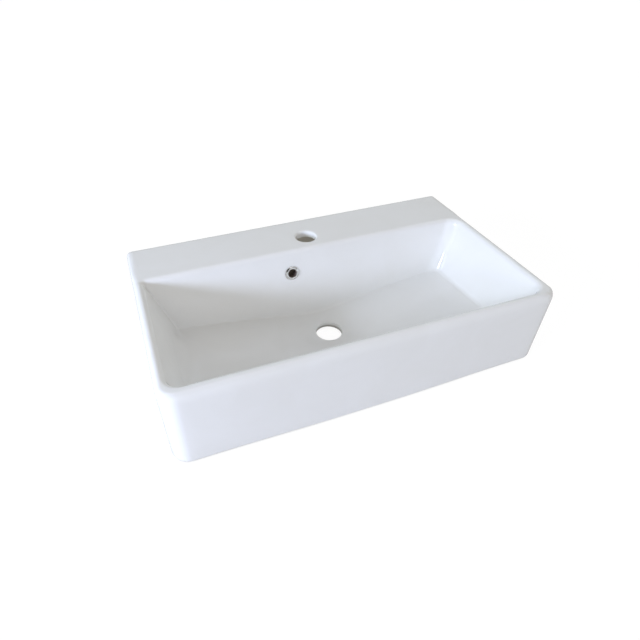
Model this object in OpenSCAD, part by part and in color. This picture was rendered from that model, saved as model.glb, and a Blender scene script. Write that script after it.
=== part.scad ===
/* [Outer casting] */
// Overall width, left to right
basin_w = 600; // [520:5:800]
// Overall depth, front to back
basin_d = 350; // [340:5:450]
// Overall height
basin_h = 137; // [130:1:170]
// Radius of the two front corners, seen from above
front_corner_r = 20; // [14:1:40]
// Radius of the two back corners, seen from above
back_corner_r = 10; // [9:1:20]
// Rounding of the outer top edge
top_edge_r = 8; // [4:0.5:9]
// Rounding of the outer bottom edge
foot_edge_r = 5; // [2:0.5:6]
// Wall thickness of the upright aprons
apron_t = 12; // [9:0.5:14]
// Thickness of the tap deck
deck_t = 12; // [11:0.5:18]
// Wall thickness of the bowl
shell_t = 10; // [8:0.5:11]

/* [Rim] */
// Width of the rim at the sides and the front
rim_w = 16.5; // [15:0.5:26]
// Width of the tap deck, from the back face to the bowl
deck_w = 101.5; // [92:0.5:115]
// Rounding of the rim's inner edge
rim_roll_r = 6; // [3:0.5:7]
// Depth of the upright lip under the rim
lip_h = 9; // [8:0.5:10.5]

/* [Bowl] */
// Radius of the bowl's front corners, at the lip
bowl_front_r = 17; // [10:1:26]
// Radius of the bowl's back corners, at the lip
bowl_back_r = 8; // [5:1:14]
// Lean of the side walls from upright, in degrees
side_lean = 22.5; // [12:0.5:26]
// Lean of the front and back walls from upright, in degrees
end_lean = 11.5; // [6:0.5:14]
// Rounding between the walls and the floor
floor_fillet_r = 9; // [6:0.5:12]
// Height of the floor in the back corners
floor_back_z = 44; // [34:1:60]
// Height of the floor in the front corners
floor_front_z = 54; // [40:1:64]
// Width of the low middle of the floor
gully_w = 98; // [84:1:140]
// Height of the low middle at the back wall
gully_back_z = 20; // [17:0.5:26]
// Height of the low middle at the front wall
gully_front_z = 30; // [20:0.5:34]

/* [Waste outlet] */
// Diameter of the waste hole
waste_d = 46; // [40:0.5:50]
// Distance from the back face to the middle of the waste hole
waste_back = 179; // [170:1:190]
// Diameter of the level seat around the waste hole
waste_seat_d = 64; // [58:1:76]
// Height of the seat above the base
waste_seat_z = 11; // [10.5:0.25:14]
// Rounding of the waste hole's upper edge
waste_edge_r = 1.5; // [0.5:0.25:2]
// Height of the outlet's underside above the base
outlet_gap = 1; // [0.5:0.25:1.5]

/* [Tap hole] */
// Diameter of the tap hole
tap_d = 35; // [30:0.5:40]
// Distance from the back face to the middle of the tap hole
tap_back = 63.5; // [50:0.5:68]
// Rounding of the tap hole's upper edge
tap_edge_r = 3; // [1:0.5:4]

/* [Overflow] */
// Sideways place of the overflow hole
overflow_x = -42; // [-80:1:-36]
// Height of the overflow hole
overflow_z = 98; // [80:1:102]
// Diameter of the overflow hole
overflow_d = 22; // [20:0.5:24]
// Width of the overflow duct
duct_w = 30; // [27:1:40]
// Depth of the overflow duct, front to back
duct_gap = 12; // [8:0.5:16]
// Wall thickness around the duct
duct_t = 8; // [6:0.5:9]
// Width of the slot from the duct into the waste hole
slot_w = 16; // [10:1:20]
// Height of the slot from the duct into the waste hole
slot_h = 5; // [3:0.5:5.5]

/* [Overflow trim] */
// Outer diameter of the chrome ring
ring_d = 25; // [24.5:0.25:30]
// Diameter of the opening in the ring
ring_hole_d = 15.5; // [12:0.5:16]
// Thickness of the ring's flange
flange_t = 2.4; // [1.6:0.1:3.5]
// Wall thickness of the ring's tubular shank
shank_t = 1; // [0.8:0.1:1.2]
// Length of the ring's shank
shank_l = 9; // [6:0.5:11]
// Thickness of the sealing washer
washer_t = 1; // [0.6:0.1:1.6]
// Depth of the spot face that the washer lies in
spot_face = 0.4; // [0.2:0.1:0.5]
// Number of spring fingers on the sleeve
finger_count = 6; // [4:1:8]
// Width of the slits between the fingers
slit_w = 1.6; // [1:0.1:2.4]
// How far the barbs reach out behind the wall
barb = 0.9; // [0.5:0.1:1.4]
// Play between the trim pieces
play = 0.1; // [0.05:0.05:0.2]

/* [Wall fixing] */
// Spacing of the two wall bolts
bolt_spacing = 280; // [200:10:360]
// Diameter of the wall bolt holes
bolt_d = 22; // [14:1:26]
// Height of the wall bolt holes
bolt_z = 95; // [60:1:100]

/* [Hidden] */
round_fn = 96;
hull_fn = 32;
over = 1;
roll_bite = 0.05;
front_y = -basin_d / 2;
back_y = basin_d / 2;
open_w = basin_w - 2 * rim_w;
open_front_y = front_y + rim_w;
open_back_y = back_y - deck_w;
lip_z = basin_h - lip_h;
void_r = max(front_corner_r - apron_t, 4);
waste_y = back_y - waste_back;
tap_y = back_y - tap_back;
ring_hole_r = ring_hole_d / 2;
shank_r = ring_hole_r + shank_t;
sleeve_out_r = overflow_d / 2 - play;
slot_z = (outlet_gap + waste_seat_z - slot_h) / 2;
washer_in_r = shank_r + play;
washer_out_r = ring_d / 2 - flange_t / 4;
flange_z = washer_t - spot_face;
sleeve_end = duct_t + 3;

// How far a wall that leans in from the lip brings the centre of its rounding at the floor
function lean_run(floor_z, r, lean) = (lip_z - floor_z - r + r * sin(lean)) * tan(lean) + r * cos(lean);
function side_x(floor_z, r) = open_w / 2 - lean_run(floor_z, r, side_lean);
function back_wall_y(z) = open_back_y - (lip_z - z) * tan(end_lean);
duct_foot_y = back_wall_y(slot_z);

// Plan outline with its own front and back corner radii
module plan(w, y0, y1, r_front, r_back) {
    for (s = [-1, 1]) {
        translate([s * (w / 2 - r_front), y0 + r_front]) circle(r_front, $fn = round_fn);
        translate([s * (w / 2 - r_back), y1 - r_back]) circle(r_back, $fn = round_fn);
    }
    translate([-w / 2, y0 + r_front]) square([w, y1 - r_back - y0 - r_front]);
    translate([r_front - w / 2, y0]) square([w - 2 * r_front, r_front]);
    translate([r_back - w / 2, y1 - r_back]) square([w - 2 * r_back, r_back]);
}

// What a rounding of radius r takes off a square corner that lies at the origin
module corner_waste(r) {
    difference() {
        translate([-r, -r]) square([r + over, r + over]);
        translate([-r, -r]) circle(r, $fn = round_fn);
    }
}

// Upright slice of the casting from its inside to the outer face, both edges rounded
module edge_slice(len) {
    difference() {
        square([len, basin_h]);
        translate([len, basin_h]) corner_waste(top_edge_r);
        translate([len, 0]) mirror([0, 1]) corner_waste(foot_edge_r);
    }
}

// Straight stretch of the outer wall along X, facing +Y
module straight_edge(len, depth) {
    translate([-len / 2, 0, 0]) rotate([90, 0, 90]) linear_extrude(len) edge_slice(depth);
}

// Solid casting before it is hollowed
module outer_block() {
    rf = front_corner_r;
    rb = back_corner_r;
    mid_d = basin_d - rf - rb;
    for (s = [-1, 1]) {
        translate([s * (basin_w / 2 - rf), front_y + rf, 0])
            rotate_extrude($fn = round_fn) edge_slice(rf);
        translate([s * (basin_w / 2 - rb), back_y - rb, 0])
            rotate_extrude($fn = round_fn) edge_slice(rb);
        translate([0, front_y + rf + mid_d / 2, 0])
            rotate([0, 0, -90 * s]) straight_edge(mid_d, basin_w / 2);
    }
    translate([0, front_y + rf, 0]) rotate([0, 0, 180]) straight_edge(basin_w - 2 * rf, rf);
    translate([0, back_y - rb, 0]) straight_edge(basin_w - 2 * rb, rb);
}

// Bowl-shaped solid: the cavity when grow is 0, the outside of the bowl when grow is the wall
module bowl_form(grow, seat_r, seat_z, top) {
    r = floor_fillet_r;
    hull() {
        for (s = [-1, 1]) {
            translate([s * (open_w / 2 - bowl_front_r), open_front_y + bowl_front_r, lip_z])
                cylinder(r = bowl_front_r + grow, h = top, $fn = hull_fn);
            translate([s * (open_w / 2 - bowl_back_r), open_back_y - bowl_back_r, lip_z])
                cylinder(r = bowl_back_r + grow, h = top, $fn = hull_fn);
            translate([s * side_x(floor_back_z, r), open_back_y - lean_run(floor_back_z, r, end_lean), floor_back_z + r])
                sphere(r + grow, $fn = hull_fn);
            translate([s * side_x(floor_front_z, r), open_front_y + lean_run(floor_front_z, r, end_lean), floor_front_z + r])
                sphere(r + grow, $fn = hull_fn);
            translate([s * gully_w / 2, open_back_y - lean_run(gully_back_z, r, end_lean), gully_back_z + r])
                sphere(r + grow, $fn = hull_fn);
            translate([s * gully_w / 2, open_front_y + lean_run(gully_front_z, r, end_lean), gully_front_z + r])
                sphere(r + grow, $fn = hull_fn);
        }
        translate([0, waste_y, seat_z]) cylinder(r = seat_r, h = 1, $fn = 2 * hull_fn);
    }
}

// What the rounding of the rim takes off around the bowl's opening
module rim_roll() {
    w = open_w - 2 * roll_bite;
    y0 = open_front_y + roll_bite;
    y1 = open_back_y - roll_bite;
    rf = bowl_front_r - roll_bite;
    rb = bowl_back_r - roll_bite;
    side_l = y1 - y0 - rf - rb;
    translate([0, 0, basin_h]) {
        for (s = [-1, 1]) {
            translate([s * w / 2, y0 + rf + side_l / 2, 0]) rotate([0, 0, 90 - 90 * s]) roll_bar(side_l);
            translate([s * (w / 2 - rf), y0 + rf, 0]) roll_turn(rf, rim_roll_r);
            translate([s * (w / 2 - rb), y1 - rb, 0]) roll_turn(rb, rim_roll_r);
        }
        translate([0, y0, 0]) rotate([0, 0, -90]) roll_bar(w - 2 * rf);
        translate([0, y1, 0]) rotate([0, 0, 90]) roll_bar(w - 2 * rb);
    }
}

// Straight stretch of that waste along Y: the lip's face is at x = 0, the rim's top at z = 0
module roll_bar(len) {
    translate([0, len / 2, 0]) rotate([90, 0, 0]) linear_extrude(len)
        mirror([1, 0]) corner_waste(rim_roll_r);
}

// The same waste around a hole or a corner of radius r
module roll_turn(r, edge_r) {
    rotate_extrude($fn = round_fn) translate([r, 0]) mirror([1, 0]) corner_waste(edge_r);
}

// Round hole straight down, from z0 up to z1, with its upper edge rounded
module rounded_hole(d, z0, z1, edge_r) {
    translate([0, 0, z0]) cylinder(d = d, h = z1 - z0 + over, $fn = round_fn);
    translate([0, 0, z1]) roll_turn(d / 2, edge_r);
}

// Puts children on the back wall at the overflow hole: +Y goes into the wall, +Z up along it
module at_overflow() {
    translate([overflow_x, back_wall_y(overflow_z), overflow_z]) rotate([-end_lean, 0, 0]) children();
}

// The same place, with +Z out of the wall along the hole
module overflow_axis() {
    at_overflow() rotate([90, 0, 0]) children();
}

module basin_body() {
    color("white") difference() {
        union() {
            difference() {
                outer_block();
                underside();
            }
            bowl_form(shell_t, waste_seat_d / 2 + shell_t, outlet_gap, 0.5);
            duct_casing();
        }
        bowl_form(0, waste_seat_d / 2, waste_seat_z, lip_h + over);
        rim_roll();
        translate([0, waste_y, 0]) rounded_hole(waste_d, -over, waste_seat_z, waste_edge_r);
        translate([0, tap_y, 0]) rounded_hole(tap_d, basin_h - deck_t - over, basin_h, tap_edge_r);
        overflow_cut();
        duct_hollow();
        wall_bolt_holes();
    }
}

// Open space under the bowl and the deck, between the aprons
module underside() {
    translate([0, 0, -over]) linear_extrude(basin_h - deck_t + over)
        plan(basin_w - 2 * apron_t, front_y + apron_t, back_y - apron_t, void_r, void_r);
}

// Side view of a slab that follows the back wall, near and far being its distances behind it
module leaning_slab(near, far, z0, z1, width) {
    f = 1 / cos(end_lean);
    translate([overflow_x - width / 2, 0, 0]) rotate([90, 0, 90]) linear_extrude(width)
        polygon([
            [back_wall_y(z0) + near * f, z0],
            [back_wall_y(z0) + far * f, z0],
            [back_wall_y(z1) + far * f, z1],
            [back_wall_y(z1) + near * f, z1]
        ]);
}

// Level run from the foot of the duct to the waste hole's left side, grown by a wall all round
module level_run(grow, z0, h) {
    w = slot_w + 2 * grow;
    run_l = duct_foot_y + duct_t + duct_gap - waste_y;
    translate([overflow_x - w / 2, waste_y - w / 2, z0]) cube([w, w / 2 + run_l, h]);
    translate([overflow_x - w / 2, waste_y - w / 2, z0]) cube([-overflow_x - waste_d / 4 + w / 2, w, h]);
}

// Casting around the overflow duct
module duct_casing() {
    leaning_slab(shell_t / 2, duct_gap + 2 * duct_t, outlet_gap, basin_h - deck_t, duct_w + 2 * duct_t);
    level_run(duct_t, outlet_gap, waste_seat_z - outlet_gap);
}

// Hollow of the duct, from behind the overflow hole to the waste hole
module duct_hollow() {
    leaning_slab(duct_t, duct_t + duct_gap, slot_z, overflow_z + overflow_d / 2 + duct_t / 2, duct_w);
    level_run(0, slot_z, slot_h);
}

module overflow_cut() {
    overflow_axis() {
        translate([0, 0, -duct_t - over]) cylinder(d = overflow_d, h = duct_t + 2 * over, $fn = round_fn);
        translate([0, 0, -spot_face]) cylinder(d = ring_d + 2 * play, h = spot_face + over, $fn = round_fn);
    }
}

module wall_bolt_holes() {
    for (s = [-1, 1])
        translate([s * bolt_spacing / 2, back_y + over, bolt_z])
            rotate([90, 0, 0]) cylinder(d = bolt_d, h = apron_t + 2 * over, $fn = round_fn);
}

// Chrome flange with its tubular shank, axis on +Z, the wall's face at z = 0
module overflow_ring() {
    color("silver") overflow_axis() rotate_extrude($fn = round_fn) {
        difference() {
            union() {
                translate([ring_hole_r, flange_z]) square([(ring_d - flange_t) / 2 - ring_hole_r, flange_t]);
                translate([(ring_d - flange_t) / 2, flange_z + flange_t / 2]) circle(flange_t / 2, $fn = round_fn);
            }
            polygon([
                [ring_hole_r - over, flange_z + flange_t + over],
                [ring_hole_r - over, flange_z + flange_t / 3 - over],
                [ring_hole_r, flange_z + flange_t / 3],
                [ring_hole_r + flange_t * 2 / 3, flange_z + flange_t],
                [ring_hole_r + flange_t * 2 / 3 + over, flange_z + flange_t + over]
            ]);
        }
        translate([ring_hole_r, flange_z - shank_l]) square([shank_t, shank_l]);
    }
}

// Plastic sleeve in the overflow hole, split into spring fingers with barbs behind the wall
module overflow_sleeve() {
    color("dimgray") overflow_axis() difference() {
        rotate_extrude($fn = round_fn) polygon([
            [washer_in_r, -spot_face],
            [washer_in_r, -sleeve_end],
            [sleeve_out_r - play, -sleeve_end],
            [overflow_d / 2 + barb, -duct_t - 1],
            [overflow_d / 2 + barb, -duct_t - play],
            [sleeve_out_r, -duct_t - play],
            [sleeve_out_r, -spot_face]
        ]);
        for (i = [0:finger_count - 1])
            rotate([0, 0, (i + 0.5) * 360 / finger_count])
                translate([0, -slit_w / 2, -sleeve_end - over])
                    cube([ring_d, slit_w, sleeve_end - duct_t / 2 + over]);
    }
}

// Soft washer between the ring's flange and the glazed wall
module overflow_washer() {
    color("black") overflow_axis() translate([0, 0, -spot_face]) difference() {
        cylinder(r = washer_out_r, h = washer_t, $fn = round_fn);
        translate([0, 0, -over]) cylinder(r = washer_in_r, h = washer_t + 2 * over, $fn = round_fn);
    }
}

basin_body();
overflow_ring();
overflow_sleeve();
overflow_washer();
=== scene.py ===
import math

import bmesh
import bpy
from mathutils import Matrix, Vector, noise


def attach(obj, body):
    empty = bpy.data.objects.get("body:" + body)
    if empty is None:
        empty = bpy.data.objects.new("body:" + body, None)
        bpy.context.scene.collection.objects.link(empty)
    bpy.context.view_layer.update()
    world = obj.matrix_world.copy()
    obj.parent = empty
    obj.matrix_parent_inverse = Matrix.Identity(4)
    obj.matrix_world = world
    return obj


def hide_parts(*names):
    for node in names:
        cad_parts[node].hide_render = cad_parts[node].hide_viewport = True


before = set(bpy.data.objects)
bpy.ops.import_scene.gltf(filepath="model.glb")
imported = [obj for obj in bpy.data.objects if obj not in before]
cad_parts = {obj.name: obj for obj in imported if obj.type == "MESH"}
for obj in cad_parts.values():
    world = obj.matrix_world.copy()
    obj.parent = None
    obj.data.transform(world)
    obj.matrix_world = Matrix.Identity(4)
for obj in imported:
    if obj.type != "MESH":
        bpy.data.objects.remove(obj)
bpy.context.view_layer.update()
mm = 0.001

# A glazed washbasin with a chrome-ringed overflow, in the CAD model's frame:
# origin at the middle of the base, +X right, +Y towards the wall, +Z up. Sizes are in millimetres.


# the camera, at the photo's angle

cameraSetup = {
    "place": (-273.68, -568.99, 572.21),
    "forward": (0.2759, 0.7018, -0.65677),
    "up": (0.23309, 0.61405, 0.75407),
    "lens": 26.914,
    "sensor": 36.0,
    "shiftX": 0.02844,
    "shiftY": 0.00591,
}


def makeCamera(setup):
    lens = bpy.data.cameras.new("photoCamera")
    lens.sensor_width = setup["sensor"]
    lens.lens = setup["lens"]
    lens.shift_x = setup["shiftX"]
    lens.shift_y = setup["shiftY"]
    lens.clip_start = 0.01
    camera = bpy.data.objects.new("photoCamera", lens)
    bpy.context.collection.objects.link(camera)
    back = -Vector(setup["forward"]).normalized()
    right = Vector(setup["up"]).cross(back).normalized()
    turn = Matrix((right, back.cross(right), back)).transposed().to_4x4()
    camera.matrix_world = Matrix.Translation(Vector(setup["place"]) * mm) @ turn
    bpy.context.scene.camera = camera


makeCamera(cameraSetup)
print("camera made")


# sizes of the casting

casting = {
    "width": 600.0,
    "depth": 350.0,
    "height": 137.0,
    "frontLeft": 25.5,      # radii of its corners, seen from above
    "frontRight": 19.0,
    "backCorner": 10.0,
    # the outer top edge, across and down, and then the rounding of the bowl's edge
    "outerRoll": {"left": 9.2, "right": 8.0, "front": 9.2, "back": 10.0},
    "outerDrop": {"left": 12.0, "right": 10.0, "front": 16.0, "back": 10.0},
    "innerRoll": {"left": 7.3, "right": 8.5, "front": 7.2, "back": 8.2},
    "endRoll": 13.0,        # the outer edge at the deck's ends, a fuller curve
    "endFullness": 3.0,
    "endFrom": (75.0, 25.0),        # y from which the deck's ends have it, and over what length
    "footEdge": 6.6,        # rounding of the outer bottom edge
    "footMiddle": 1.8,      # the same in the middle of the front
    "footFront": 8.1,       # the same at the ends of the front
    "footFrontFrom": (110.0, 60.0),     # how far in front of the middle those begin, and over what length
    "footCorner": 8.6,      # the same at the front left corner
    "footReach": 42.0,      # how far that carries from the corner
    "footFullness": 2.1,    # 2 is a plain arc, more is fuller
    "apron": 12.0,
    "apronCorner": 8.0,
    "deck": 12.0,
    "shell": 10.0,
    "outletGap": 1.0,
    "sideRim": 17.8,        # width of the rim at the lip's level
    "frontRim": 17.0,
    "deckWidth": 101.5,
    "lip": 9.0,             # depth at which those widths are taken
    # how far the front rim's inner edge strays, and how much more for each mm to the right
    "skew": (0.2, -0.0091),
    "skewFrom": (90.0, 60.0),
    "wander": 0.16,         # how far the fired faces wander
    "wanderLength": 130.0,
    "wanderFine": (2.3, 0.4),       # a finer set of waves: how many times shorter, and its share
    "wanderFoot": (6.0, 20.0),      # height from which the faces wander, and over what length
    "wanderBack": (4.0, 25.0),      # the same in front of the back
}

bowl = {
    "frontLeft": (17.0, 0.05),      # corner radius at the lip, and its gain for each mm down
    "frontRight": (23.0, 0.05),
    "backLeft": (3.5, 0.01),
    "backRight": (22.0, 0.0),
    "sideSlope": 0.397,     # how far the side walls lean in for each mm down
    "endSlope": 0.2035,     # the same for the front and back walls
    "sideSpread": 1.08,     # how far out each of them moves for each mm of thickness
    "endSpread": 1.02,
    "floorSpread": 1.01,
    "topSpan": 3.4,         # height of the fold from the walls into the rim's rounding
    "fillet": 9.0,          # the fold from the walls into the floor
    "leftFillet": 46.0,     # the same on the left, apart from the back
    "leftFrom": (150.0, 70.0),      # how far left of the middle it begins, and over what length
    "leftUntil": (58.0, 60.0),      # y at which it ends, and over what length
    "rightFillet": 10.0,
    "rightFrom": (150.0, 60.0),
    "floorLow": 14.1,       # where the floor's two planes would meet, at the back
    "floorBack": 53.0,      # y at which that is
    "floorSide": 0.121,     # rise to the sides
    "floorFront": 0.05,     # rise to the front
    "valley": 37.0,         # softness of the low line between the planes
}

waste = {
    "y": -4.0,
    "radius": 23.0,
    "flare": 0.3,           # how much wider the bore is at its foot
    "edge": 1.2,            # rounding of its upper edge
    "seat": 11.0,
    "seatRadius": 27.0,
    "dishReach": 32.0,      # how far round the seat the floor dips towards it
    "dishPower": 1.2,
}

tapHole = {
    "y": 111.5,
    "radius": 17.5,
    "flare": 1.3,           # how much wider the hole is at its foot
    "edge": 3.3,            # rounding of its upper edge
    "depth": 17.0,          # into the space under the deck
    "clear": 26.0,          # the deck's own rows of faces begin this far from its middle
}

overflow = {
    "x": -42.0,
    "z": 98.0,
    "radius": 11.0,
    "depth": 9.5,           # into the duct
    "spotRadius": 12.6,     # the flat that the washer lies in
    "spotDepth": 0.4,
}

duct = {
    "width": 30.0,
    "gap": 12.0,
    "wall": 8.0,
    "near": 5.0,            # how far the casing reaches into the bowl's wall
    "slotWidth": 16.0,
    "slotHeight": 5.0,
    "slotLevel": 3.5,       # height at which the way down meets the level one
    "castEdge": 3.0,
}

wallBolts = {"spacing": 280.0, "radius": 11.0, "z": 95.0, "segments": 56}

glazeSlot, bareSlot, ductSlot = 0, 1, 2     # the casting's material slots

halfWidth, halfDepth, top = casting["width"] / 2, casting["depth"] / 2, casting["height"]
lipZ = top - casting["lip"]
lipHalf = halfWidth - casting["sideRim"]
lipFront = casting["frontRim"] - halfDepth
lipBack = halfDepth - casting["deckWidth"]


# the mesh's columns, round the basin as seen from above

def mix(a, b, t):
    return a + (b - a) * t


def ease(t):
    t = min(max(t, 0.0), 1.0)
    return t * t * t * (t * (6.0 * t - 15.0) + 10.0)


def past(value, limits):
    # 0 to 1, with limits of where something begins and over what length it grows
    start, length = limits
    return ease((value - start) / length)


def evenly(a, b, count):
    return [mix(a, b, i / count) for i in range(count + 1)]


def bySide(sizes, out):
    # a size that changes smoothly round the basin, where out is the direction out of it
    across, along = sizes["right" if out.x > 0 else "left"], sizes["back" if out.y > 0 else "front"]
    return across * out.x ** 2 + along * out.y ** 2


frontSteps, sideSteps, cornerSteps, deckSteps = 44, 24, 10, 22
fanShare = 15 / 22          # of the columns over an end of the deck, those that meet the basin's side
sideEnd = lipBack - 8.0     # the columns beside the bowl run straight out up to here

# places along the back wall, closer together round the tap hole and the overflow
tapMarks = [27, 22, 16.5, 11, 5.5, 0, -5.5, -11, -16.5, -22, -27]
overflowMarks = [-22, -27, -32, -37, -42, -47, -52, -57, -62]
straightBack = lipHalf - (bowl["backLeft"][0] + bowl["backRight"][0]) / 2
backMarks = evenly(straightBack, tapMarks[0], 18)[:-1] + tapMarks + overflowMarks[2:]
backMarks += evenly(overflowMarks[-1], -straightBack, 16)[1:]

columns = [("front", s) for s in evenly(-1, 1, frontSteps)[:-1]]
columns += [("frontRight", 90 * i / cornerSteps - 90) for i in range(cornerSteps)]
columns += [("right", s) for s in evenly(0, 1, sideSteps)[:-1]]
columns += [("backRight", 90 * i / deckSteps) for i in range(deckSteps)]
backStart = len(columns)
columns += [("back", m / straightBack) for m in backMarks[:-1]]
columns += [("backLeft", 90 * i / deckSteps + 90) for i in range(deckSteps)]
columns += [("left", s) for s in evenly(1, 0, sideSteps)[:-1]]
columns += [("frontLeft", 90 * i / cornerSteps + 180) for i in range(cornerSteps)]


def atRight(column):
    side, s = column
    return "right" in side.lower() or side in ("front", "back") and s > 0


def placeColumn(column, half, front, back, rFront, rBack):
    # a column's point on a rounded rectangle, and its direction out of it
    side, s = column
    if side == "front":
        return Vector((s * (half - rFront), front, 0)), Vector((0, -1, 0))
    if side == "back":
        return Vector((s * (half - rBack), back, 0)), Vector((0, 1, 0))
    if side in ("left", "right"):
        x = half if side == "right" else -half
        return Vector((x, mix(front + rFront, back - rBack, s), 0)), Vector((math.copysign(1, x), 0, 0))
    out = Vector((math.cos(math.radians(s)), math.sin(math.radians(s)), 0))
    r = rFront if side.startswith("front") else rBack
    x = half - r if side.endswith("Right") else r - half
    y = front + r if side.startswith("front") else back - r
    return Vector((x, y, 0)) + out * r, out


def outerColumn(column):
    # beside the bowl the columns run straight out; those of its back corners fan out over the deck's ends
    side, s = column
    r = casting["backCorner"]
    frontCorner = casting["frontRight" if atRight(column) else "frontLeft"]
    front, back = frontCorner - halfDepth, halfDepth - r
    if side in ("left", "right"):
        x = halfWidth if side == "right" else -halfWidth
        return Vector((x, mix(front, sideEnd, s), 0)), Vector((math.copysign(1, x), 0, 0))
    if side in ("backRight", "backLeft"):
        sign = 1 if side == "backRight" else -1
        t = s / 90 if sign > 0 else (180 - s) / 90      # 0 beside the bowl, 1 behind it
        if t < fanShare:
            return Vector((sign * halfWidth, mix(sideEnd, back, t / fanShare), 0)), Vector((sign, 0, 0))
        turn = (t - fanShare) / (1 - fanShare) * math.pi / 2
        out = Vector((sign * math.cos(turn), math.sin(turn), 0))
        return Vector((sign * (halfWidth - r), back, 0)) + out * r, out
    return placeColumn(column, halfWidth, -halfDepth, halfDepth, frontCorner, r)


def wallColumn(column, drop, grow):
    # on the bowl's wall, drop below the lip's foot and grow outside the glazed face
    half = lipHalf - bowl["sideSlope"] * drop + grow * bowl["sideSpread"]
    front = lipFront + bowl["endSlope"] * drop - grow * bowl["endSpread"]
    back = lipBack - bowl["endSlope"] * drop + grow * bowl["endSpread"]
    ends = []
    for end in ("front", "back"):
        radius, gain = bowl[end + ("Right" if atRight(column) else "Left")]
        ends.append(radius + gain * drop + grow)
    place, out = placeColumn(column, half, front, back, *ends)
    stray, turn = casting["skew"]
    place.y += (stray + turn * place.x) * past(-place.y, casting["skewFrom"])
    place.z = lipZ - drop
    return place, out


def filletSize(foot):
    # the left wall runs softly into the floor, except at the back; the right one has a tighter fold
    until, length = bowl["leftUntil"]
    left = past(-foot.x, bowl["leftFrom"]) * ease((until - foot.y) / length)
    right = past(foot.x, bowl["rightFrom"])
    return mix(mix(bowl["fillet"], bowl["leftFillet"], left), bowl["rightFillet"], right)


def floorHeight(x, y, grow):
    plane = bowl["floorLow"] + bowl["floorSide"] * math.hypot(x, bowl["valley"])
    plane += bowl["floorFront"] * (bowl["floorBack"] - y)
    away = max(math.hypot(x, y - waste["y"]) - waste["seatRadius"], 0.0) / waste["dishReach"]
    dish = math.exp(-away ** waste["dishPower"])
    return max(mix(plane, waste["seat"], dish) - grow * bowl["floorSpread"], casting["outletGap"])


def floorPoint(ray, reach, grow):
    x, y = ray.x * reach, waste["y"] + ray.y * reach
    return Vector((x, y, floorHeight(x, y, grow)))


def softQuarter(steps, fullness):
    # a rounding from a face (0, 0) to the next one (1, 1), as shares of its size
    turns = [math.pi / 2 * i / steps for i in range(steps + 1)]
    return [(1 - max(math.cos(t), 0.0) ** (2 / fullness), math.sin(t) ** (2 / fullness)) for t in turns]


# rings of the bowl, from the lip down to the waste

def bowlRings(grow, startDrop, innerRadius, wallShares, filletSteps, floorSteps):
    rings = [[] for _ in range(len(wallShares) + filletSteps + floorSteps)]
    for column in columns:
        low, high = 0.0, lipZ
        for _ in range(24):     # where the wall meets the floor
            middle = (low + high) / 2
            place = wallColumn(column, middle, grow)[0]
            low, high = (middle, high) if place.z > floorHeight(place.x, place.y, grow) else (low, middle)
        foot = wallColumn(column, low, grow)[0]
        ray = Vector((foot.x, foot.y - waste["y"], 0))
        reach = ray.length
        ray.normalize()
        up = (wallColumn(column, low - 1, grow)[0] - foot).normalized()
        inward = (floorPoint(ray, reach - 1, grow) - floorPoint(ray, reach, grow)).normalized()
        cut = (filletSize(foot) + grow) * math.tan((math.pi - up.angle(inward)) / 2)
        wallEnd = low - cut * up.z
        line = [wallColumn(column, mix(startDrop, wallEnd, share), grow)[0] for share in wallShares]
        above, after = line[-1], floorPoint(ray, reach - cut, grow)
        for i in range(1, filletSteps + 1):
            t = i / filletSteps
            line.append(above * (1 - t) ** 2 + foot * (2 * t * (1 - t)) + after * t ** 2)
        for i in range(1, floorSteps + 1):
            t = 1 - (1 - i / floorSteps) ** 1.3
            line.append(floorPoint(ray, mix(reach - cut, innerRadius, t), grow))
        for ring, place in zip(rings, line):
            ring.append(place)
    return rings


# turning rings of points into meshes

def ringFaces(mesh, rings, gaps=()):
    # quads between neighbouring rings; a gap is (first ring, last ring, first column, last column)
    made = [[mesh.verts.new(place) for place in ring] for ring in rings]
    count = len(rings[0])
    for r in range(len(made) - 1):
        for c in range(count):
            if any(r0 <= r < r1 and c0 <= c < c1 for r0, r1, c0, c1 in gaps):
                continue
            d = (c + 1) % count
            mesh.faces.new((made[r][c], made[r][d], made[r + 1][d], made[r + 1][c]))
    for gap in gaps:            # points inside a gap belong to nothing
        r0, r1, c0, c1 = gap
        for r in range(r0 + 1, r1):
            for c in range(c0 + 1, c1):
                mesh.verts.remove(made[r][c])
                made[r][c] = None
    return made


def bridge(mesh, ringA, ringB):
    count = len(ringA)
    for i in range(count):
        j = (i + 1) % count
        mesh.faces.new((ringA[i], ringA[j], ringB[j], ringB[i]))


def roundHole(mesh, made, gap, centre, across, along, steps, blend):
    # fills a gap round a hole; steps are (radius, depth) from the surface to the hole's blind end
    r0, r1, c0, c1 = gap
    edge = [made[r0][c] for c in range(c0, c1)] + [made[r][c1] for r in range(r0, r1)]
    edge += [made[r1][c] for c in range(c1, c0, -1)] + [made[r][c0] for r in range(r1, r0, -1)]
    inward = across.cross(along).normalized()
    first, second = edge[0].co - centre, edge[1].co - centre
    start = math.atan2(first.dot(along), first.dot(across))
    way = math.atan2(second.dot(along), second.dot(across)) - start
    turn = math.copysign(2 * math.pi / len(edge), math.sin(way))

    def circle(radius, depth):
        places = []
        for i in range(len(edge)):
            a = start + turn * i
            places.append(centre + (across * math.cos(a) + along * math.sin(a)) * radius - inward * depth)
        return places

    rim = circle(steps[0][0], 0.0)
    last = edge
    for share in blend:
        ring = [mesh.verts.new(a.co.lerp(b, share)) for a, b in zip(edge, rim)]
        bridge(mesh, last, ring)
        last = ring
    for radius, depth in steps:
        ring = [mesh.verts.new(place) for place in circle(radius, depth)]
        bridge(mesh, last, ring)
        last = ring
    mesh.faces.new(last)


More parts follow.
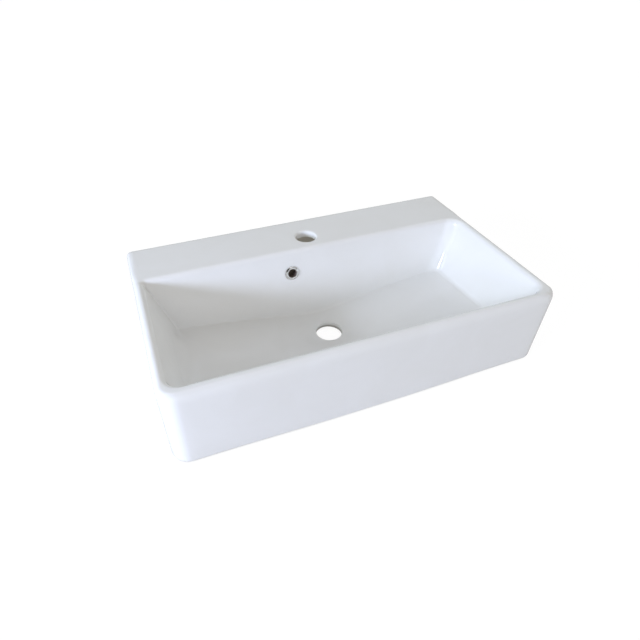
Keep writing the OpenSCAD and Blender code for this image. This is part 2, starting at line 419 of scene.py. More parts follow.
def finishMesh(mesh, name, slot=None):
    if slot is not None:
        for face in mesh.faces:
            face.material_index = slot
    bmesh.ops.recalc_face_normals(mesh, faces=mesh.faces)
    for vertex in mesh.verts:
        vertex.co *= mm
    data = bpy.data.meshes.new(name)
    mesh.to_mesh(data)
    mesh.free()
    piece = bpy.data.objects.new(name, data)
    bpy.context.collection.objects.link(piece)
    return piece


def smoothFaces(piece, angle):
    # smooth shading, but for edges sharper than an angle in degrees
    piece.data.polygons.foreach_set("use_smooth", [True] * len(piece.data.polygons))
    piece.data.set_sharp_from_angle(angle=math.radians(angle))
    piece.data.update()


def solidOfRings(name, rings):
    mesh = bmesh.new()
    made = ringFaces(mesh, rings)
    mesh.faces.new(made[0])
    mesh.faces.new(made[-1])
    return finishMesh(mesh, name, bareSlot)


def solidOfProfile(name, profile, x0, x1, castEdge=0.0, slot=bareSlot):
    # a side view of (y, z) points, pushed from x0 to x1
    mesh = bmesh.new()
    ends = [[mesh.verts.new((x, y, z)) for y, z in profile] for x in (x0, x1)]
    bridge(mesh, *ends)
    for end in ends:
        mesh.faces.new(end)
    if castEdge:
        bmesh.ops.bevel(mesh, geom=list(mesh.edges), offset=castEdge, segments=3, profile=0.5, affect="EDGES")
    return finishMesh(mesh, name, slot)


def blockSolid(name, low, high, castEdge=0.0, slot=bareSlot):
    (x0, y0, z0), (x1, y1, z1) = low, high
    return solidOfProfile(name, [(y0, z0), (y1, z0), (y1, z1), (y0, z1)], x0, x1, castEdge, slot)


def carve(piece, tool):
    change = piece.modifiers.new("carve", "BOOLEAN")
    change.operation = "DIFFERENCE"
    change.solver = "MANIFOLD"
    change.object = tool
    depsgraph = bpy.context.evaluated_depsgraph_get()
    result = bpy.data.meshes.new_from_object(piece.evaluated_get(depsgraph))
    piece.modifiers.clear()
    old, piece.data = piece.data, result
    bpy.data.meshes.remove(old)
    bpy.data.objects.remove(tool)


# the glazed casting with its rim, bowl and holes

def backWallY(z):
    return lipBack - (lipZ - z) * bowl["endSlope"]


def wander(place):
    # slow waves of a fired face, nothing at the foot or the back
    near = place / casting["wanderLength"]
    times, share = casting["wanderFine"]
    shift = noise.noise_vector(near) + noise.noise_vector(near * times + Vector((7, 3, 5))) * share
    margin, length = casting["wanderBack"]
    hold = past(place.z, casting["wanderFoot"]) * ease((halfDepth - margin - place.y) / length)
    return shift * (casting["wander"] * hold)


def rimLine(column, shares):
    # from the wall over the inner rounding, the flat top and the outer rounding, down to the outer face
    lip, out = wallColumn(column, 0.0, 0.0)
    lean = bowl["sideSlope"] * out.x ** 2 + bowl["endSlope"] * out.y ** 2
    turn = math.pi / 2 - math.atan(lean)
    inner = bySide(casting["innerRoll"], out)
    flatA = lip + out * (lean * (top - lipZ) + inner * math.tan(turn / 2))
    edgePlace, edgeOut = outerColumn(column)
    deckEnd = past(edgePlace.y, casting["endFrom"]) * edgeOut.x ** 2
    across = mix(bySide(casting["outerRoll"], edgeOut), casting["endRoll"], deckEnd)
    across = min(across, (edgePlace - flatA).dot(edgeOut))
    down = bySide(casting["outerDrop"], edgeOut)
    power = 2 / mix(2.0, casting["endFullness"], deckEnd)
    flatB = edgePlace - edgeOut * across
    flatA.z = flatB.z = top
    lengths = [inner * turn, (flatB - flatA).length, (across + down) * math.pi / 4]
    side, s = column
    fan = {"back": 1.0, "backRight": ease(s / 90), "backLeft": ease((180 - s) / 90)}.get(side, 0.0)
    line = []
    for i, (part, share) in enumerate(shares):
        along = mix(sum(lengths) * i / (len(shares) - 1), sum(lengths[:part]) + lengths[part] * share, fan)
        if along < lengths[0]:
            a = turn - along / inner
            line.append(flatA + Vector((0, 0, inner * (math.cos(a) - 1))) - out * (inner * math.sin(a)))
        elif along <= lengths[0] + lengths[1]:
            line.append(flatA.lerp(flatB, (along - lengths[0]) / max(lengths[1], 1e-6)))
        else:
            a = min((along - lengths[0] - lengths[1]) / lengths[2], 1.0) * math.pi / 2
            fall = max(math.cos(a), 0.0) ** power - 1
            line.append(flatB + Vector((0, 0, down * fall)) + edgeOut * (across * math.sin(a) ** power))
    return line


def footRounding(place):
    # nearly sharp in the middle of the front, rounder towards its corners
    middle = mix(casting["footMiddle"], casting["footFront"], ease(1.1 * abs(place.x) / halfWidth))
    usual = mix(casting["footEdge"], middle, past(-place.y, casting["footFrontFrom"]))
    away = math.hypot(place.x + halfWidth, place.y + halfDepth)
    return mix(usual, casting["footCorner"], math.exp(-(away / casting["footReach"]) ** 2))


def boreRings(seatRing):
    # the waste's bore, from its foot up to the rounding under the seat
    radius, flare, edge = waste["radius"], waste["flare"], waste["edge"]

    def ringAt(radius, share, lift):
        ring = []
        for seat in seatRing:
            out = Vector((seat.x, seat.y - waste["y"], 0)).normalized()
            ring.append(Vector((0, waste["y"], (seat.z - edge) * share + lift)) + out * radius)
        return ring

    rings = [ringAt(radius + flare * (1 - share), share, 0.0) for share in (0, 0.3, 0.6, 0.85)]
    return rings + [ringAt(radius + edge * a, 1.0, edge * b) for a, b in softQuarter(5, 2)[:-1]]


def outsideRings(shares, foldSteps, faceSteps, footSteps):
    # from the top of the bowl's wall over the rim and down the outside to the foot
    rings = [[] for _ in range(foldSteps - 1 + len(shares) + faceSteps + footSteps)]
    for column in columns:
        rim = rimLine(column, shares)
        below, lip = wallColumn(column, bowl["topSpan"], 0.0)[0], wallColumn(column, 0.0, 0.0)[0]
        line = []
        for i in range(1, foldSteps):
            t = i / foldSteps
            line.append(below * (1 - t) ** 2 + lip * (2 * t * (1 - t)) + rim[0] * t ** 2)
        line += rim
        edgePlace, edgeOut = outerColumn(column)
        foot = footRounding(edgePlace)
        line += [edgePlace + Vector((0, 0, z)) for z in evenly(rim[-1].z, foot, faceSteps)[1:]]
        for a, b in softQuarter(footSteps, casting["footFullness"])[1:]:
            line.append(edgePlace - edgeOut * (foot * a) + Vector((0, 0, foot * (1 - b))))
        for ring, place in zip(rings, line):
            ring.append(place)
    return rings


def addHoles(mesh, made, tapGap, overflowGap):
    across, along = Vector((1, 0, 0)), Vector((0, 1, 0))
    radius, edge = tapHole["radius"], tapHole["edge"]
    steps = [(radius + edge * (1 - b), edge * a) for a, b in softQuarter(8, 2)]
    for share in (0.35, 0.6, 0.8, 1.0):
        steps.append((radius + tapHole["flare"] * ease(share * 1.4 - 0.4), tapHole["depth"] * share))
    roundHole(mesh, made, tapGap, Vector((0, tapHole["y"], top)), across, along, steps, (0.25, 0.5, 0.75))

    along = Vector((0, bowl["endSlope"], 1)).normalized()
    spot, bore, flat, deep = (overflow[name] for name in ("spotRadius", "radius", "spotDepth", "depth"))
    steps = [(spot + 0.5, 0), (spot + 0.12, 0.12), (spot, flat), (bore + 0.5, flat + 0.02), (bore, flat + 0.5),
             (bore, deep * 0.5), (bore, deep)]
    centre = Vector((overflow["x"], backWallY(overflow["z"]), overflow["z"]))
    roundHole(mesh, made, overflowGap, centre, across, along, steps, (0.35, 0.7))


def makeGlazedBlock():
    wallShares = [0, 0.03, 0.06] + evenly(0.1, 0.5, 8) + evenly(0.5, 1, 7)[1:]
    boreTop = waste["radius"] + waste["edge"]
    inside = bowlRings(0.0, bowl["topSpan"], boreTop, wallShares, filletSteps=9, floorSteps=30)
    inside.reverse()                    # from the waste up to the top of the wall
    rings = boreRings(inside[0]) + inside
    wallTop = len(rings) - 1

    # the rim's rows: its inner rounding, the flat top with the tap hole's rows, its outer rounding
    foldSteps, rollSteps, faceSteps, footSteps, tapRows = 5, 8, 8, 7, 10
    deckStart = rimLine(("back", 0.0), [(1, 0.0), (1, 0.0)])[0].y
    deckLength = halfDepth - casting["outerRoll"]["back"] - deckStart
    tapEnds = [(tapHole["y"] + clear - deckStart) / deckLength for clear in (-tapHole["clear"], tapHole["clear"])]
    flatShares = evenly(*tapEnds, tapRows) + [0.77, 0.885]
    shares = [(0, share) for share in evenly(0, 1, rollSteps)] + [(1, share) for share in flatShares]
    shares += [(2, share) for share in evenly(0, 1, rollSteps)]
    flatStart = wallTop + foldSteps + rollSteps + 1
    rings += outsideRings(shares, foldSteps, faceSteps, footSteps)

    tapColumns = [backStart + backMarks.index(tapMarks[end]) for end in (0, -1)]
    overflowColumns = [backStart + backMarks.index(overflowMarks[end]) for end in (0, -1)]
    tapGap = (flatStart, flatStart + tapRows, *tapColumns)
    overflowGap = (wallTop - 11, wallTop - 3, *overflowColumns)     # the wall's rows round the overflow
    mesh = bmesh.new()
    made = ringFaces(mesh, rings, (tapGap, overflowGap))
    bridge(mesh, made[-1], made[0])
    addHoles(mesh, made, tapGap, overflowGap)
    noise.seed_set(5)                   # the waves are the same in each run
    for vertex in mesh.verts:
        vertex.co += wander(vertex.co)
    for face in mesh.faces:             # the foot stands on bare china
        face.material_index = bareSlot if max(v.co.z for v in face.verts) < 0.01 else glazeSlot
    return finishMesh(mesh, "basinBody")


# the open underside and the overflow duct

def leaningSlab(name, near, far, z0, z1, width, castEdge=0.0, slot=bareSlot):
    # leans as the back wall does, between two distances behind its glazed face
    lean = math.hypot(1, bowl["endSlope"])
    profile = [(backWallY(z) + away * lean, z) for z, away in ((z0, near), (z0, far), (z1, far), (z1, near))]
    x0, x1 = overflow["x"] - width / 2, overflow["x"] + width / 2
    return solidOfProfile(name, profile, x0, x1, castEdge, slot)


def levelRuns(name, grow, z0, z1, castEdge=0.0, slot=bareSlot):
    # forwards from the foot of the duct, and then across to the waste
    half = duct["slotWidth"] / 2 + grow
    farY = backWallY(duct["slotLevel"]) + duct["wall"] + duct["gap"]
    low = (overflow["x"] - half, waste["y"] - half, z0)
    ends = [(overflow["x"] + half, farY, z1), (-waste["radius"] / 2, waste["y"] + half, z1)]
    return [blockSolid(name + str(i), low, end, castEdge, slot) for i, end in enumerate(ends)]


def boltTool(side):
    rings = []
    for y in (halfDepth - casting["apron"] - 2, halfDepth + 2):
        ring = []
        for i in range(wallBolts["segments"]):
            a = 2 * math.pi * i / wallBolts["segments"]
            x = side * wallBolts["spacing"] / 2 + wallBolts["radius"] * math.cos(a)
            ring.append(Vector((x, y, wallBolts["z"] + wallBolts["radius"] * math.sin(a))))
        rings.append(ring)
    return solidOfRings("boltTool", rings)


def makeUnderside():
    apron, corner, under = casting["apron"], casting["apronCorner"], top - casting["deck"]
    half, front, back = halfWidth - apron, apron - halfDepth, halfDepth - apron
    places = [placeColumn(column, half, front, back, corner, corner)[0] for column in columns]
    space = solidOfRings("undersideSpace", [[Vector((p.x, p.y, z)) for p in places] for z in (-5.0, under)])
    outside = bowlRings(casting["shell"], 0.0, 12.0, evenly(0, 1, 8), filletSteps=6, floorSteps=20)
    carve(space, solidOfRings("bowlOutside", outside))
    gap, wall, edge = casting["outletGap"], duct["wall"], duct["castEdge"]
    far, width = duct["gap"] + 2 * wall, duct["width"] + 2 * wall
    casing = leaningSlab("ductCasing", duct["near"], far, gap, under + 3, width, edge)
    for tool in [casing] + levelRuns("ductRun", wall, gap, waste["seat"], edge):
        carve(space, tool)
    return space


def makeBasinBody():
    body = makeGlazedBlock()
    print("glazed block:", len(body.data.polygons), "faces")
    carve(body, makeUnderside())
    slotZ = (casting["outletGap"] + waste["seat"] - duct["slotHeight"]) / 2
    highest = overflow["z"] + overflow["radius"] + duct["wall"] / 2
    far = duct["wall"] + duct["gap"]
    hollow = leaningSlab("ductHollow", duct["wall"], far, slotZ, highest, duct["width"], slot=ductSlot)
    tools = [hollow] + levelRuns("ductWay", 0.0, slotZ, slotZ + duct["slotHeight"], slot=ductSlot)
    for tool in tools + [boltTool(-1), boltTool(1)]:
        carve(body, tool)
    smoothFaces(body, 34)
    print("casting:", len(body.data.polygons), "faces")
    return body


basinBody = makeBasinBody()
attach(basinBody, "root")
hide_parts("basin_body")


# the overflow ring

chromeRing = {
    "outer": 12.4,
    "hole": 7.6,
    "holeEdge": (0.75, 0.7, 1.85),      # rounding of the hole's edge, across and down, and its height
    "shank": 8.75,
    "shankLength": 9.0,
    "seat": 0.6,            # flange's back, out of the wall's face
    # the flange's face: how far in from its edge, and how far out from its back
    "face": [(0.0, 0.2), (0.15, 0.42), (0.45, 0.5), (0.6, 0.58), (0.75, 0.7), (2.35, 1.8), (2.55, 1.87),
             (2.8, 1.9)],
    "segments": 96,
}


def makeRing(ring):
    outer, hole, shank, seat = ring["outer"], ring["hole"], ring["shank"], ring["seat"]
    foot = seat - ring["shankLength"]
    profile = [(shank - 0.25, foot), (shank, foot + 0.25), (shank, seat - 0.2), (shank + 0.2, seat)]
    profile += [(outer - 0.25, seat)] + [(outer - inwards, seat + high) for inwards, high in ring["face"]]
    across, down, start = ring["holeEdge"]
    profile += [(hole + across * (1 - b), seat + start - down * a) for a, b in softQuarter(4, 2)]
    wallRow = len(profile) - 1          # from here on it is the hole's wall
    profile += [(hole, (seat + foot) / 2), (hole, foot + 0.2), (hole + 0.2, foot)]
    out = Vector((0, -1, bowl["endSlope"])).normalized()
    right, up = Vector((1, 0, 0)), Vector((0, bowl["endSlope"], 1)).normalized()
    centre = Vector((overflow["x"], backWallY(overflow["z"]), overflow["z"]))
    turns = [2 * math.pi * i / ring["segments"] for i in range(ring["segments"])]
    rings = []
    for r, h in profile:
        rings.append([centre + out * h + (right * math.cos(t) + up * math.sin(t)) * r for t in turns])
    mesh = bmesh.new()
    made = ringFaces(mesh, rings)
    bridge(mesh, made[-1], made[0])
    mesh.faces.ensure_lookup_table()
    for face in mesh.faces[wallRow * ring["segments"]:]:
        face.material_index = 1
    piece = finishMesh(mesh, "overflowRing")
    smoothFaces(piece, 40)
    return piece


overflowRing = makeRing(chromeRing)
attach(overflowRing, "root")
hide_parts("overflow_ring")
print("overflow ring made")


# materials: effects that more than one finish uses are groups, placed with their own values

def addNode(tree, kind, inputs=(), **settings):
    # an input that is another node's output is linked, any other one is set
    node = tree.nodes.new("ShaderNode" + kind)
    for name, value in settings.items():
        setattr(node, name, value)
    for name, value in dict(inputs).items():
        if isinstance(value, bpy.types.NodeSocket):
            tree.links.new(value, node.inputs[name])
        else:
            node.inputs[name].default_value = value
    return node


def compute(tree, operation, *inputs):
    return addNode(tree, "Math", enumerate(inputs), operation=operation).outputs[0]


def measure(tree, operation, *vectors):
    return addNode(tree, "VectorMath", enumerate(vectors), operation=operation).outputs["Value"]


def spread(tree, share, low, high, start=0.0, end=1.0, kind="LINEAR"):
    # a share turned into a range of values
    inputs = {"Value": share, "From Min": start, "From Max": end, "To Min": low, "To Max": high}
    return addNode(tree, "MapRange", inputs, interpolation_type=kind).outputs[0]


def emptyTree(owner):
    owner.use_nodes = True
    owner.node_tree.nodes.clear()
    return owner.node_tree


def startGroup(name, output, **inputs):
    # an input with no value is a vector
    group = bpy.data.node_groups.new(name, "ShaderNodeTree")
    for label, value in inputs.items():
        kind = "NodeSocketVector" if value is None else "NodeSocketFloat"
        socket = group.interface.new_socket(label, in_out="INPUT", socket_type=kind)
        if value is not None:
            socket.default_value = value
    group.interface.new_socket(output, in_out="OUTPUT", socket_type="NodeSocketFloat")
    return group, group.nodes.new("NodeGroupInput").outputs, group.nodes.new("NodeGroupOutput").inputs


def makeSoftWaves():
    # rolling waves of a surface that flowed, with a finer set on top; Length in metres
    group, given, wanted = startGroup("softWaves", "Height", Place=None, Length=0.01, Fine=0.3)
    scale = compute(group, "DIVIDE", 1.0, given["Length"])
    fineScale = compute(group, "MULTIPLY", scale, 3.7)
    broad, fine = [addNode(group, "TexNoise", {"Vector": given["Place"], "Scale": size, "Detail": 1.0})
                   for size in (scale, fineScale)]
    both = compute(group, "MULTIPLY_ADD", fine.outputs["Fac"], given["Fine"], broad.outputs["Fac"])
    group.links.new(both, wanted["Height"])
    return group


def makeSpecks():
    # round specks; Spacing in metres, Share of the places that have one, Size as a share of the spacing
    group, given, wanted = startGroup("scatteredSpecks", "Mask", Place=None, Spacing=0.004, Share=0.1, Size=0.15)
    scale = compute(group, "DIVIDE", 1.0, given["Spacing"])
    cells = addNode(group, "TexVoronoi", {"Vector": given["Place"], "Scale": scale}, feature="F1")
    chance = addNode(group, "SeparateColor", {0: cells.outputs["Color"]}).outputs[0]
    chosen = compute(group, "LESS_THAN", chance, given["Share"])
    speck = spread(group, cells.outputs["Distance"], 1.0, 0.0, 0.0, given["Size"], "SMOOTHSTEP")
    group.links.new(compute(group, "MULTIPLY", speck, chosen), wanted["Mask"])
    return group


def makeFilm():
    # patches left by handling and dried water, between 0 and 1; Length in metres
    group, given, wanted = startGroup("handledFilm", "Mask", Place=None, Length=0.05, Spread=0.16)
    look = {"Detail": 4.0, "Roughness": 0.6, "Distortion": 0.8}
    scale = compute(group, "DIVIDE", 1.0, given["Length"])
    cloud = addNode(group, "TexNoise", {"Vector": given["Place"], "Scale": scale, **look}).outputs["Fac"]
    low, high = [compute(group, operation, 0.5, given["Spread"]) for operation in ("SUBTRACT", "ADD")]
    group.links.new(spread(group, cloud, 0.0, 1.0, low, high, "SMOOTHSTEP"), wanted["Mask"])
    return group


softWaves, scatteredSpecks, handledFilm = makeSoftWaves(), makeSpecks(), makeFilm()


def startMaterial(name, ior, metallic=0.0):
    material = bpy.data.materials.new(name)
    tree = emptyTree(material)
    shader = addNode(tree, "BsdfPrincipled", {"IOR": ior, "Metallic": metallic})
    addNode(tree, "OutputMaterial", {"Surface": shader.outputs["BSDF"]})
    return material, tree, shader, addNode(tree, "TexCoord").outputs["Object"]


def useGroup(tree, group, place, **values):
    node = tree.nodes.new("ShaderNodeGroup")
    node.node_tree = group
    tree.links.new(place, node.inputs["Place"])
    for socket, value in values.items():
        node.inputs[socket].default_value = value
    return node.outputs[0]


def blendColours(tree, share, low, high):
    node = tree.nodes.new("ShaderNodeMix")
    node.data_type = "RGBA"
    tree.links.new(share, node.inputs["Factor"])
    for socket, colour in (("A", low), ("B", high)):
        place = [i for i in node.inputs if i.name == socket and i.type == "RGBA"][0]
        if isinstance(colour, tuple):
            place.default_value = colour + (1,)
        else:
            tree.links.new(colour, place)
    return [o for o in node.outputs if o.type == "RGBA"][0]


def feedShader(tree, shader, colour, roughness, bumps):
    # the bumps lie on top of one another: (height, depth in metres)
    tree.links.new(colour, shader.inputs["Base Color"])
    tree.links.new(roughness, shader.inputs["Roughness"])
    below = None
    for height, depth in bumps:
        bump = addNode(tree, "Bump", {"Height": height, "Strength": 1.0, "Distance": depth})
        if below:
            tree.links.new(below, bump.inputs["Normal"])
        below = bump.outputs["Normal"]
    tree.links.new(below, shader.inputs["Normal"])


glazeFinish = {
    "colour": (0.86, 0.87, 0.88),
    "thinColour": (0.842, 0.85, 0.853),     # where the glaze ran thinner
    "speckColour": (0.52, 0.49, 0.44),
    "bodyColour": (0.79, 0.765, 0.72),      # the china that shows where the foot was wiped
    "wipeHeight": 0.0014,
    "gloss": (0.045, 0.11),                 # roughness, clean to filmed
    "waveLength": 0.016,
    "waveDepth": 0.00007,
    "boreShadeColour": (0.40, 0.385, 0.355),     # painted shade low in the waste's bore
    "boreHeights": (0.007, 0.003),          # between which it darkens
    "boreReach": (1.3, 1.8),                # how far round the bore that ends, in millimetres
}


def makeGlaze(finish):
    material, tree, shader, place = startMaterial("glazedChina", 1.5)
    clouds = useGroup(tree, handledFilm, place, Length=0.09, Spread=0.25)
    film = useGroup(tree, handledFilm, place, Length=0.035, Spread=0.1)
    specks = useGroup(tree, scatteredSpecks, place, Spacing=0.007, Share=0.12, Size=0.045)
    colour = blendColours(tree, clouds, finish["colour"], finish["thinColour"])
    colour = blendColours(tree, spread(tree, specks, 0.0, 0.45), colour, finish["speckColour"])
    # the foot, wiped along a ragged line
    height = addNode(tree, "SeparateXYZ", {0: place}).outputs["Z"]
    ragged = addNode(tree, "TexNoise", {"Vector": place, "Scale": 260.0, "Detail": 2.0}).outputs["Fac"]
    line = compute(tree, "MULTIPLY_ADD", ragged, -finish["wipeHeight"], height)
    wiped = spread(tree, line, 1.0, 0.0, 0.0, finish["wipeHeight"] * 0.4)
    colour = blendColours(tree, wiped, colour, finish["bodyColour"])
    # painted shade on the lower part of the waste's bore, darker towards its foot
    level = addNode(tree, "VectorMath", {0: place, 1: (1, 1, 0)}, operation="MULTIPLY").outputs[0]
    away = measure(tree, "DISTANCE", level, (0, waste["y"] * mm, 0))
    near, far = [(waste["radius"] + reach) * mm for reach in finish["boreReach"]]
    inBore = spread(tree, away, 1.0, 0.0, near, far)
    paintedBoreShade = compute(tree, "MULTIPLY", inBore, spread(tree, height, 0.0, 1.0, *finish["boreHeights"]))
    colour = blendColours(tree, paintedBoreShade, colour, finish["boreShadeColour"])
    rough = compute(tree, "MULTIPLY_ADD", wiped, 0.6, spread(tree, film, *finish["gloss"]))
    waves = useGroup(tree, softWaves, place, Length=finish["waveLength"], Fine=0.12)
    feedShader(tree, shader, colour, rough, [(waves, finish["waveDepth"]), (specks, -0.00002)])
    return material


bareFinish = {
    "colour": (0.80, 0.775, 0.73),
    "damp": (0.71, 0.68, 0.63),             # darker patches of the fired body
    "pore": (0.45, 0.42, 0.37),
    "roughness": (0.78, 0.95),
    "grain": 0.0011,
}
# painted shade: the duct's inside is coloured darker than the bare china around it
ductShadeFinish = {
    "colour": (0.42, 0.34, 0.30),
    "damp": (0.34, 0.27, 0.235),
    "pore": (0.20, 0.16, 0.14),
    "roughness": (0.8, 0.95),
    "grain": 0.0011,
}


def makeBareChina(name, finish):
    material, tree, shader, place = startMaterial(name, 1.45)
    clouds = useGroup(tree, handledFilm, place, Length=0.045, Spread=0.22)
    pores = useGroup(tree, scatteredSpecks, place, Spacing=0.003, Share=0.35, Size=0.14)
    grain = useGroup(tree, softWaves, place, Length=finish["grain"], Fine=0.6)
    sponge = useGroup(tree, softWaves, place, Length=0.012, Fine=0.4)
    colour = blendColours(tree, clouds, finish["colour"], finish["damp"])
    colour = blendColours(tree, spread(tree, pores, 0.0, 0.6), colour, finish["pore"])
    bumps = [(sponge, 0.0004), (grain, 0.00012), (pores, -0.0002)]
    feedShader(tree, shader, colour, spread(tree, clouds, *finish["roughness"]), bumps)
    return material


chromeFinish = {
    "colour": (0.95, 0.955, 0.96),
    "dull": (0.86, 0.86, 0.85),
    "scaleMark": (0.76, 0.76, 0.74),        # dried water
    "gloss": (0.03, 0.12),
}


def makeChrome(finish):
    material, tree, shader, place = startMaterial("ringChrome", 2.0, metallic=1.0)
    film = useGroup(tree, handledFilm, place, Length=0.006, Spread=0.18)
    marks = useGroup(tree, scatteredSpecks, place, Spacing=0.0022, Share=0.22, Size=0.16)
    polish = useGroup(tree, softWaves, place, Length=0.0024, Fine=0.35)
    colour = blendColours(tree, spread(tree, film, 0.0, 0.6), finish["colour"], finish["dull"])
    colour = blendColours(tree, spread(tree, marks, 0.0, 0.5), colour, finish["scaleMark"])
    bumps = [(polish, 0.000008), (marks, 0.000006)]
    feedShader(tree, shader, colour, spread(tree, film, *finish["gloss"]), bumps)
    return material


sleeveFinish = {
    "colour": (0.09, 0.08, 0.075),
    "scuffed": (0.17, 0.16, 0.15),
    "roughness": (0.42, 0.62),
    "grain": 0.0005,
    "ior": 1.49,
}
ringHoleShadeFinish = {
    "colour": (0.15, 0.115, 0.10),          # painted shade: the wall of the ring's hole, made dark
    "scuffed": (0.20, 0.155, 0.135),
    "roughness": (0.7, 0.85),
    "grain": 0.0004,
    "ior": 1.3,
}


def makeDarkPlastic(name, finish):
    material, tree, shader, place = startMaterial(name, finish["ior"])
    scuffs = useGroup(tree, handledFilm, place, Length=0.004, Spread=0.12)
    grain = useGroup(tree, softWaves, place, Length=finish["grain"], Fine=0.5)
    colour = blendColours(tree, spread(tree, scuffs, 0.0, 0.35), finish["colour"], finish["scuffed"])
    feedShader(tree, shader, colour, spread(tree, scuffs, *finish["roughness"]), [(grain, 0.00003)])
    return material


rubberFinish = {
    "colour": (0.03, 0.03, 0.03),
    "bloom": (0.11, 0.108, 0.10),           # the pale film that rubber sweats out
    "roughness": (0.66, 0.9),
}


def makeWasherRubber(finish):
    material, tree, shader, place = startMaterial("washerRubber", 1.52)
    bloom = useGroup(tree, handledFilm, place, Length=0.005, Spread=0.2)
    dust = useGroup(tree, scatteredSpecks, place, Spacing=0.0012, Share=0.3, Size=0.2)
    grain = useGroup(tree, softWaves, place, Length=0.0006, Fine=0.5)
    colour = blendColours(tree, spread(tree, bloom, 0.0, 0.4), finish["colour"], finish["bloom"])
    colour = blendColours(tree, spread(tree, dust, 0.0, 0.5), colour, finish["bloom"])
    feedShader(tree, shader, colour, spread(tree, bloom, *finish["roughness"]), [(grain, 0.00004)])
    return material


def dress(piece, *materials):
    # the slots are filled in order, and clearing them would lose which face has which
    slots = piece.data.materials
    for i, material in enumerate(materials):
        if i < len(slots):
            slots[i] = material
        else:
            slots.append(material)


china = [makeGlaze(glazeFinish), makeBareChina("bareChina", bareFinish), makeBareChina("ductInside", ductShadeFinish)]
dress(basinBody, *china)
dress(overflowRing, makeChrome(chromeFinish), makeDarkPlastic("ringHole", ringHoleShadeFinish))
for node, material in (("overflow_sleeve", makeDarkPlastic("sleevePlastic", sleeveFinish)),
                       ("overflow_washer", makeWasherRubber(rubberFinish))):
    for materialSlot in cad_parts[node].material_slots:
        materialSlot.material = material
print("materials made")


# the pale floor, white to the camera and in reflections, with the object's shadow on it

floorSetup = {
    "half": 6.0,                # metres
    "colour": (0.8, 0.8, 0.8),
    "shown": 0.86,              # share of plain white in what is seen, the rest is lit by the lamps
    "white": 1.08,
    "mirrored": 0.5,            # how bright it is in reflections
    "contact": 0.0025,          # reach of the painted contact shade, a dark line where the foot stands
    "contactTone": 0.85,
}


def shownRays(tree):
    path = addNode(tree, "LightPath").outputs
    first = compute(tree, "MAXIMUM", path["Is Camera Ray"], path["Is Glossy Ray"])
    return compute(tree, "MAXIMUM", first, path["Is Transmission Ray"])


def makeFloor(setup):
    mesh = bpy.data.meshes.new("paleFloor")
    half = setup["half"]
    corners = [(-half, -half, 0), (half, -half, 0), (half, half, 0), (-half, half, 0)]
    mesh.from_pydata(corners, [], [(0, 1, 2, 3)])
    floor = bpy.data.objects.new("paleFloor", mesh)
    bpy.context.collection.objects.link(floor)
    material = bpy.data.materials.new("paleFloor")
    tree = emptyTree(material)
    matt = addNode(tree, "BsdfDiffuse", {"Color": setup["colour"] + (1,)}).outputs[0]
    # painted contact shade: the glow is dimmed where the foot is near
    near = addNode(tree, "AmbientOcclusion", {"Distance": setup["contact"]}, samples=12).outputs["AO"]
    tone = spread(tree, near, setup["contactTone"], setup["white"], 0.3, 1.0)
    direct = addNode(tree, "LightPath").outputs["Is Camera Ray"]
    tone = compute(tree, "MULTIPLY", tone, spread(tree, direct, setup["mirrored"], 1.0))
    glow = addNode(tree, "Emission", {"Strength": tone}).outputs[0]
    lit = addNode(tree, "MixShader", {0: setup["shown"], 1: matt, 2: glow}).outputs[0]
    seen = addNode(tree, "MixShader", {0: shownRays(tree), 1: matt, 2: lit}).outputs[0]
    addNode(tree, "OutputMaterial", {"Surface": seen})
    floor.data.materials.append(material)


# soft lamps all round: a window low on the left, and the room's light from the other sides;
# turn is the compass angle they stand at from +X, and rise their height, all in degrees

lamps = {       # turn, rise, width, strength, colour
    "window": (195, 18, 12, 0.846, (0.836, 0.936, 1.0)),
    "windowFront": (222, 12, 12, 0.568, (0.657, 0.725, 1.0)),
    "front": (270, 40, 70, 1.049, (1.0, 0.962, 0.936)),
    "right": (0, 12, 70, 1.038, (1.0, 0.968, 0.872)),
    "backHigh": (90, 40, 70, 0.754, (0.981, 0.976, 1.0)),
    "backLow": (90, 12, 70, 0.850, (0.741, 0.896, 1.0)),
    "left": (180, 40, 70, 0.537, (1.0, 0.986, 0.877)),
}
nearPanel = {
    "place": (-1.1175, -0.3571, 0.362),
    "aim": (0.0, 0.0, 0.07),
    "size": 0.2,
    "power": 6.044,
    "colour": (0.638, 0.725, 1.0),
}
hollowLamp = {                  # light that a real room sends in under the deck
    "place": (0.0, 0.125, 0.05),
    "size": 0.02,
    "power": 0.024,
    "colour": (1.0, 0.99, 0.95),
}
worldSetup = {                  # only seen in reflections: white at the sides, greyer higher up
    "zenith": 0.4,
    "heights": (0.25, 0.45),
    "ceiling": (0.72, 0.84),            # heights between which it is white again
    "right": (0.8, 0.6, 0.0),           # the room's right side is dimmer than the window's
    "rightEdge": 0.3,
    "rightTone": 0.33,
    "dimPatch": (-0.63, -0.54, 0.56),   # a dark patch over the near left, which the chrome shows
    "dimCosines": (0.81, 0.92),         # of the angles at its edge and its core
    "dimTone": 0.03,
}


def placeLamp(name, kind, towards, strength, colour):
    light = bpy.data.lights.new(name, kind)
    light.energy = strength
    light.color = colour
    holder = bpy.data.objects.new(name, light)
    bpy.context.collection.objects.link(holder)
    holder.rotation_mode = "QUATERNION"
    holder.rotation_quaternion = towards.to_track_quat("-Z", "Y")
    holder.visible_camera = False
    return holder, light


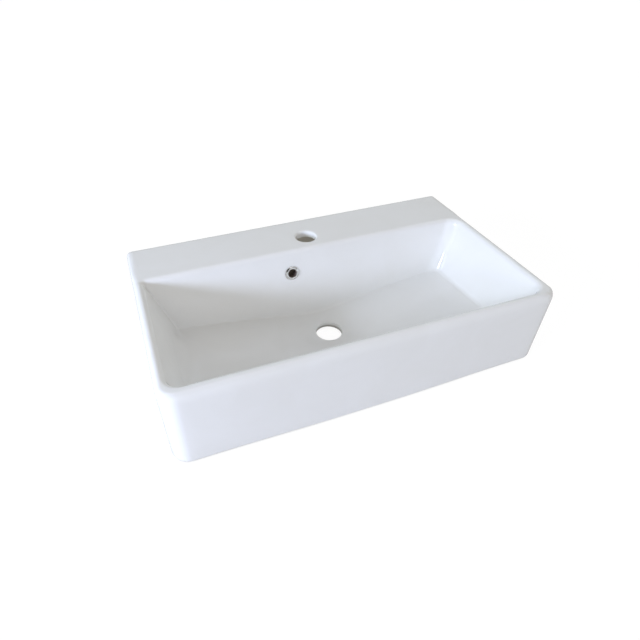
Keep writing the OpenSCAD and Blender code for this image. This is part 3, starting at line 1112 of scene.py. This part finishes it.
def makeLamps(panel, hollow):
    for name, (turn, rise, width, strength, colour) in lamps.items():
        turn, rise = math.radians(turn), math.radians(rise)
        back = Vector((math.cos(turn) * math.cos(rise), math.sin(turn) * math.cos(rise), math.sin(rise)))
        holder, light = placeLamp(name, "SUN", -back, strength, colour)
        light.angle = math.radians(width)
        holder.visible_glossy = False       # the glaze and the chrome show the room, not these lamps
    towards = Vector(panel["aim"]) - Vector(panel["place"])
    holder, light = placeLamp("nearPanel", "AREA", towards, panel["power"], panel["colour"])
    light.shape, light.size = "DISK", panel["size"]
    holder.location = panel["place"]
    holder, light = placeLamp("hollowLamp", "POINT", Vector((0, 0, -1)), hollow["power"], hollow["colour"])
    light.shadow_soft_size = hollow["size"]
    holder.location = hollow["place"]


def makeWorld(setup):
    world = bpy.data.worlds.new("studio")
    bpy.context.scene.world = world
    world.cycles.sampling_method = "NONE"       # so that the light path's rays are told apart exactly
    tree = emptyTree(world)
    towards = addNode(tree, "TexCoord").outputs["Generated"]
    up = addNode(tree, "SeparateXYZ", {0: towards}).outputs["Z"]
    side, edge = measure(tree, "DOT_PRODUCT", towards, setup["right"]), setup["rightEdge"]
    tone = spread(tree, side, 1.0, setup["rightTone"], -edge, edge, "SMOOTHSTEP")
    tone = spread(tree, up, tone, setup["zenith"], *setup["heights"], "SMOOTHSTEP")
    tone = spread(tree, up, tone, 1.0, *setup["ceiling"], "SMOOTHSTEP")
    patch = measure(tree, "DOT_PRODUCT", towards, setup["dimPatch"])
    tone = compute(tree, "MULTIPLY", tone, spread(tree, patch, 1.0, setup["dimTone"], *setup["dimCosines"]))
    white = (1, 1, 1, 1)
    mirrored = addNode(tree, "Background", {"Color": white, "Strength": tone}).outputs[0]
    plain = addNode(tree, "Background", {"Color": white}).outputs[0]
    dark = addNode(tree, "Background", {"Strength": 0.0}).outputs[0]
    direct = addNode(tree, "LightPath").outputs["Is Camera Ray"]
    shown = addNode(tree, "MixShader", {0: direct, 1: mirrored, 2: plain}).outputs[0]
    mixed = addNode(tree, "MixShader", {0: shownRays(tree), 1: dark, 2: shown}).outputs[0]
    addNode(tree, "OutputWorld", {"Surface": mixed})


makeFloor(floorSetup)
makeLamps(nearPanel, hollowLamp)
makeWorld(worldSetup)
bpy.context.scene.view_settings.view_transform = "Standard"
print("floor, lamps and world made")
